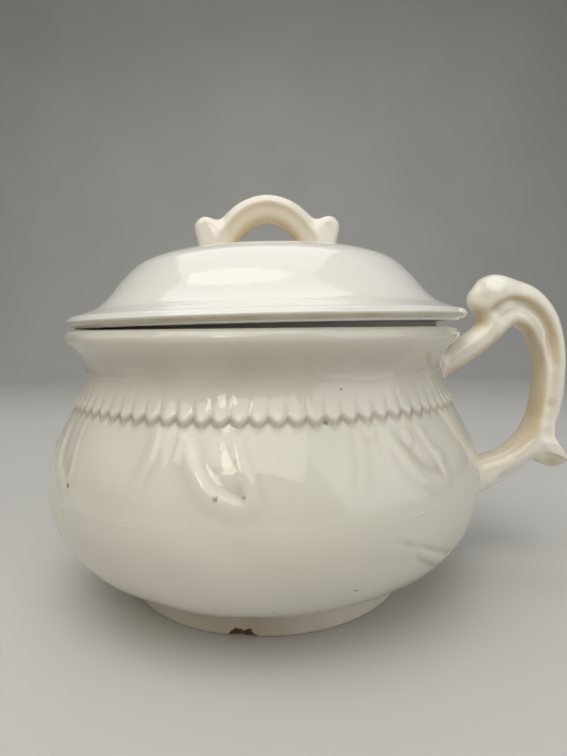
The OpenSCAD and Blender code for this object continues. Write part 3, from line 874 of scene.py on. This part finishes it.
class Nodes:
    """Short calls for one material's node tree."""

    def __init__(self, name):
        self.material = bpy.data.materials.new(name)
        self.material.use_nodes = True
        self.tree = self.material.node_tree
        self.shader = self.tree.nodes["Principled BSDF"]
        self.place = self.add("ShaderNodeTexCoord").outputs["Object"]

    def add(self, kind, **settings):
        node = self.tree.nodes.new(kind)
        for key, value in settings.items():
            setattr(node, key, value)
        return node

    def link(self, source, target):
        self.tree.links.new(source, target)

    def noise(self, scale, detail=2.0, rough=0.5, stretch=None):
        node = self.add("ShaderNodeTexNoise")
        node.inputs["Scale"].default_value = scale
        node.inputs["Detail"].default_value = detail
        node.inputs["Roughness"].default_value = rough
        place = self.place
        if stretch:
            mapping = self.add("ShaderNodeMapping")
            mapping.inputs["Scale"].default_value = stretch
            self.link(self.place, mapping.inputs["Vector"])
            place = mapping.outputs["Vector"]
        self.link(place, node.inputs["Vector"])
        return node.outputs["Fac"]

    def ramp(self, value, low, high, to_low=0.0, to_high=1.0):
        node = self.add("ShaderNodeMapRange", interpolation_type="SMOOTHSTEP")
        node.inputs["From Min"].default_value = low
        node.inputs["From Max"].default_value = high
        node.inputs["To Min"].default_value = to_low
        node.inputs["To Max"].default_value = to_high
        self.link(value, node.inputs["Value"])
        return node.outputs["Result"]

    def math(self, operation, a, b):
        node = self.add("ShaderNodeMath", operation=operation)
        for socket, value in zip(node.inputs, (a, b)):
            if isinstance(value, (int, float)):
                socket.default_value = value
            else:
                self.link(value, socket)
        return node.outputs["Value"]

    def blend(self, share, a, b):
        """Colour a, and b where the share is 1."""
        node = self.add("ShaderNodeMix", data_type="RGBA")
        share_socket, a_socket, b_socket = node.inputs[0], node.inputs[6], node.inputs[7]
        self.link(share, share_socket)
        for socket, value in ((a_socket, a), (b_socket, b)):
            if isinstance(value, tuple):
                socket.default_value = value
            else:
                self.link(value, socket)
        return node.outputs[2]

    def attribute(self, name):
        return self.add("ShaderNodeAttribute", attribute_name=name).outputs["Fac"]

    def spots(self, scale, chance, radius):
        """Sparse round specks, one in a share of the cells."""
        cells = self.add("ShaderNodeTexVoronoi")
        cells.inputs["Scale"].default_value = scale
        self.link(self.place, cells.inputs["Vector"])
        split = self.add("ShaderNodeSeparateColor")
        self.link(cells.outputs["Color"], split.inputs["Color"])
        chosen = self.ramp(split.outputs["Red"], 1 - chance, 1 - chance + 0.01)
        size = self.math("MULTIPLY", split.outputs["Green"], radius * scale)
        small = self.math("LESS_THAN", cells.outputs["Distance"], size)
        return self.math("MULTIPLY", chosen, small)

    def spot_at(self, point, radius):
        """One soft stain with a ragged edge at a place."""
        apart = self.add("ShaderNodeVectorMath", operation="DISTANCE")
        apart.inputs[1].default_value = point
        self.link(self.place, apart.inputs[0])
        edge = self.math("MULTIPLY", self.noise(900), radius * 0.9)
        reach = self.math("ADD", apart.outputs["Value"], edge)
        return self.ramp(reach, radius * 1.35, radius * 0.75)

    def bump(self, height, strength, distance):
        node = self.add("ShaderNodeBump")
        node.inputs["Strength"].default_value = strength
        node.inputs["Distance"].default_value = distance
        self.link(height, node.inputs["Height"])
        self.link(node.outputs["Normal"], self.shader.inputs["Normal"])


speck_brown, stain_brown = srgb(104, 84, 62), srgb(122, 84, 48)
speck_scale, speck_r, speck_depth = 85, 0.55 * MM, 0.5
glaze_ior, coat_weight, coat_rough = 1.52, 0.2, 0.04

# Stains on the bowl: angle, height in millimetres, radius, depth of colour
bowl_stains = [(-9.5, 71.8, 1.7 * MM, 0.85), (-4.3, 72.5, 1.1 * MM, 0.55),
               (-47.5, 68.3, 1.5 * MM, 0.8), (13.3, 95.6, 1.6 * MM, 0.75),
               (18.4, 33.6, 1.0 * MM, 0.8), (17.6, 34.4, 0.7 * MM, 0.6),
               (18.1, 107.0, 0.9 * MM, 0.6), (1.0, 26.0, 0.6 * MM, 0.5)]


def on_front(angle, z):
    """A point on the bowl, at an angle from the middle of the front and a height in millimetres."""
    a = math.radians(angle) - math.pi / 2
    r = float(outer_r(z * MM))
    return (r * math.cos(a), r * math.sin(a), z * MM)


def glaze(name, pale, deep, blush, tint_and_shade_colour, stains=(), speck_share=0.16, peel=1.6):
    """Glossy glaze: a pale coat with soft clouds, deeper colour where it pools and painted shade,
    and few specks.
    """
    n = Nodes(name)
    clouds = n.ramp(n.noise(9, 3, 0.55), 0.35, 0.7)
    colour = n.blend(n.math("MULTIPLY", clouds, 0.55), pale, deep)
    tint = n.ramp(n.noise(17, 2, 0.5, (1, 1, 1.8)), 0.45, 0.75, 0, 0.35)
    colour = n.blend(tint, colour, blush)
    grain = n.ramp(n.noise(520, 3, 0.7), 0.5, 0.75, 0, 0.16)
    colour = n.blend(grain, colour, deep)
    patchy = n.ramp(n.noise(60, 2), 0.2, 0.8, 0.65, 1.0)
    # Painted shade with pooled glaze, from the skin's attribute
    colour = n.blend(n.math("MULTIPLY", n.attribute("tint_and_shade"), patchy), colour, tint_and_shade_colour)
    specks = n.math("MULTIPLY", n.spots(speck_scale, speck_share, speck_r), speck_depth)
    colour = n.blend(specks, colour, speck_brown)
    for angle, z, radius, depth in stains:
        stain = n.math("MULTIPLY", n.spot_at(on_front(angle, z), radius), depth)
        colour = n.blend(stain, colour, stain_brown)
    n.link(colour, n.shader.inputs["Base Color"])
    n.link(n.ramp(n.noise(26, 3), 0.3, 0.75, 0.04, 0.11), n.shader.inputs["Roughness"])
    n.shader.inputs["IOR"].default_value = glaze_ior
    n.shader.inputs["Coat Weight"].default_value = coat_weight
    n.shader.inputs["Coat Roughness"].default_value = coat_rough
    wave = n.math("ADD", n.noise(38, 2), n.math("MULTIPLY", n.noise(240, 2), 0.2 * peel))
    fine = n.math("MULTIPLY", n.noise(600, 1), 0.12 * peel)
    n.bump(n.math("ADD", wave, fine), 0.32, 0.35 * MM)
    return n.material


def foot_glaze(name):
    """Thinner glaze on the foot: streaked, browner with painted shade at the front and a brown
    wash at the back, and stained clay in the chip.
    """
    n = Nodes(name)
    streaks = n.ramp(n.noise(70, 3, 0.6, (1, 1, 0.25)), 0.35, 0.7)
    colour = n.blend(streaks, srgb(243, 238, 224), srgb(235, 228, 211))
    blotch = n.ramp(n.noise(22, 3), 0.5, 0.75, 0, 0.3)
    colour = n.blend(blotch, colour, srgb(218, 200, 178))
    patchy = n.ramp(n.noise(45, 3, 0.6, (1, 1, 0.4)), 0.25, 0.75, 0.45, 1.0)
    # Painted shade at the front and a brown wash at the back, from the skin's attribute
    shade_and_wash = n.math("MULTIPLY", n.attribute("tint_and_shade"), patchy)
    colour = n.blend(shade_and_wash, colour, srgb(196, 174, 154))
    grain = n.ramp(n.noise(700, 3, 0.7), 0.35, 0.65)
    clay = n.blend(grain, srgb(82, 52, 34), srgb(150, 108, 76))
    ragged = n.math("ADD", n.attribute("chip"), n.ramp(n.noise(500, 2), 0.3, 0.7, -0.2, 0.2))
    chip = n.ramp(ragged, 0.3, 0.5)
    colour = n.blend(chip, colour, clay)
    n.link(colour, n.shader.inputs["Base Color"])
    n.link(n.ramp(chip, 0, 1, 0.24, 0.85), n.shader.inputs["Roughness"])
    rough_chip = n.math("MULTIPLY", chip, n.noise(900, 3))
    n.bump(n.math("ADD", n.noise(60, 3), rough_chip), 0.35, 0.4 * MM)
    return n.material


def dress(piece, material, body, slot, *nodes):
    piece.data.materials.clear()
    piece.data.materials.append(material)
    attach(piece, body)
    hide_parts(*nodes)


# The fourth colour of each glaze is painted shade, with pooled glaze on the bowl and the handles
# and alone on the lid's edge
bowl_look = glaze(
    "bowl_glaze", pale=srgb(225, 222, 208), deep=srgb(211, 209, 194), blush=srgb(222, 212, 200),
    tint_and_shade_colour=srgb(150, 137, 116), stains=bowl_stains)
handle_look = glaze(
    "handle_glaze", pale=srgb(239, 236, 224), deep=srgb(231, 226, 211), blush=srgb(234, 223, 198),
    tint_and_shade_colour=srgb(212, 186, 138), speck_share=0.08)
lid_look = glaze(
    "lid_glaze", pale=srgb(236, 235, 229), deep=srgb(228, 226, 218), blush=srgb(233, 228, 219),
    tint_and_shade_colour=srgb(186, 172, 150), speck_share=0.05, peel=2.2)

dress(make_bowl(), bowl_look, "pot", "body_glaze", "pot_body")
dress(make_foot(), foot_glaze("foot_glaze"), "pot", "body_glaze", "foot_ring")
dress(make_handle(), handle_look, "pot", "handle_glaze", "pot_handle")
dress(make_lid(), lid_look, "lid", "lid_glaze", "lid_cover")
dress(make_flange(), lid_look, "lid", "lid_glaze", "lid_flange")
dress(make_grip(), handle_look, "lid", "handle_glaze", "lid_handle")


# Stage: a pale floor that curves up into a pale backdrop
stage_near, stage_far, stage_bend, stage_height, stage_half = -2.5, 1.1, 0.7, 2.6, 4.0
stage_pale, stage_deep, stage_rough = srgb(204, 203, 200), srgb(199, 198, 195), 0.75


def make_stage():
    n = Nodes("stage_paper")
    paper = n.blend(n.ramp(n.noise(3, 2), 0.3, 0.7), stage_pale, stage_deep)
    n.link(paper, n.shader.inputs["Base Color"])
    n.shader.inputs["Roughness"].default_value = stage_rough
    side = [[stage_near, 0.0]]
    for a in np.linspace(0, np.pi / 2, 24):
        side.append([stage_far + stage_bend * math.sin(a), stage_bend - stage_bend * math.cos(a)])
    side.append([stage_far + stage_bend, stage_height])
    points = [(x, y, z) for y, z in side for x in (-stage_half, stage_half)]
    faces = [(2 * i, 2 * i + 1, 2 * i + 3, 2 * i + 2) for i in range(len(side) - 1)]
    stage = mesh_piece("stage_floor", points, faces)
    stage.data.materials.append(n.material)


# Soft lights: name, place, aim, size, watts, colour
lights = [
    ("key", (-0.25, -0.68, 1.28), (0.02, 0, 0.09), (1.9, 1.3), 12.6, (1.0, 0.97, 0.93)),
    ("window", (-0.42, -0.95, 0.8), (0.0, 0, 0.09), (0.2, 0.3), 0.8, (1.0, 0.88, 0.66)),
    ("top", (-0.16, 0.02, 1.3), (0, 0, 0.1), (1.9, 1.3), 7.6, (1.0, 0.99, 0.97)),
    ("fill", (1.1, -0.7, 0.6), (0.04, 0, 0.1), (1.2, 1.4), 4.8, (1, 1, 1))]
world_colour, world_strength = (0.83, 0.83, 0.82, 1), 0.14


def area_light(name, place, aim, size, watts, colour):
    data = bpy.data.lights.new(name, "AREA")
    data.shape, data.size, data.size_y = "RECTANGLE", size[0], size[1]
    data.energy, data.color = watts, colour
    light = bpy.data.objects.new(name, data)
    light.location = place
    light.rotation_euler = (Vector(aim) - Vector(place)).to_track_quat("-Z", "Y").to_euler()
    bpy.context.scene.collection.objects.link(light)


def make_world():
    world = bpy.data.worlds.new("studio")
    world.use_nodes = True
    background = world.node_tree.nodes["Background"]
    background.inputs["Color"].default_value = world_colour
    background.inputs["Strength"].default_value = world_strength
    bpy.context.scene.world = world


# Camera, fitted to the photograph: place, focal length as a share of the long side of the
# picture, and its turns in degrees
camera_place = (0.0, -0.2840, 0.1301)
focal_share = 529.3 / 756
camera_pitch, camera_yaw, camera_roll = 5.32, 1.97, 0.65


def make_camera():
    pitch, yaw, tilt = (math.radians(v) for v in (camera_pitch, camera_yaw, camera_roll))
    ahead = Vector((math.sin(yaw) * math.cos(pitch), math.cos(yaw) * math.cos(pitch),
                    -math.sin(pitch)))
    level = Vector((math.cos(yaw), -math.sin(yaw), 0))
    above = level.cross(ahead)
    right = math.cos(tilt) * level - math.sin(tilt) * above
    up = math.cos(tilt) * above + math.sin(tilt) * level
    data = bpy.data.cameras.new("camera")
    data.sensor_width = 36.0
    data.lens = focal_share * data.sensor_width
    data.clip_start = 0.01
    camera = bpy.data.objects.new("camera", data)
    turn = Matrix((right, up, -ahead)).transposed().to_4x4()
    camera.matrix_world = Matrix.Translation(camera_place) @ turn
    bpy.context.scene.collection.objects.link(camera)
    bpy.context.scene.camera = camera


make_stage()
make_camera()
for light in lights:
    area_light(*light)
make_world()
bpy.context.scene.view_settings.view_transform = "Standard"
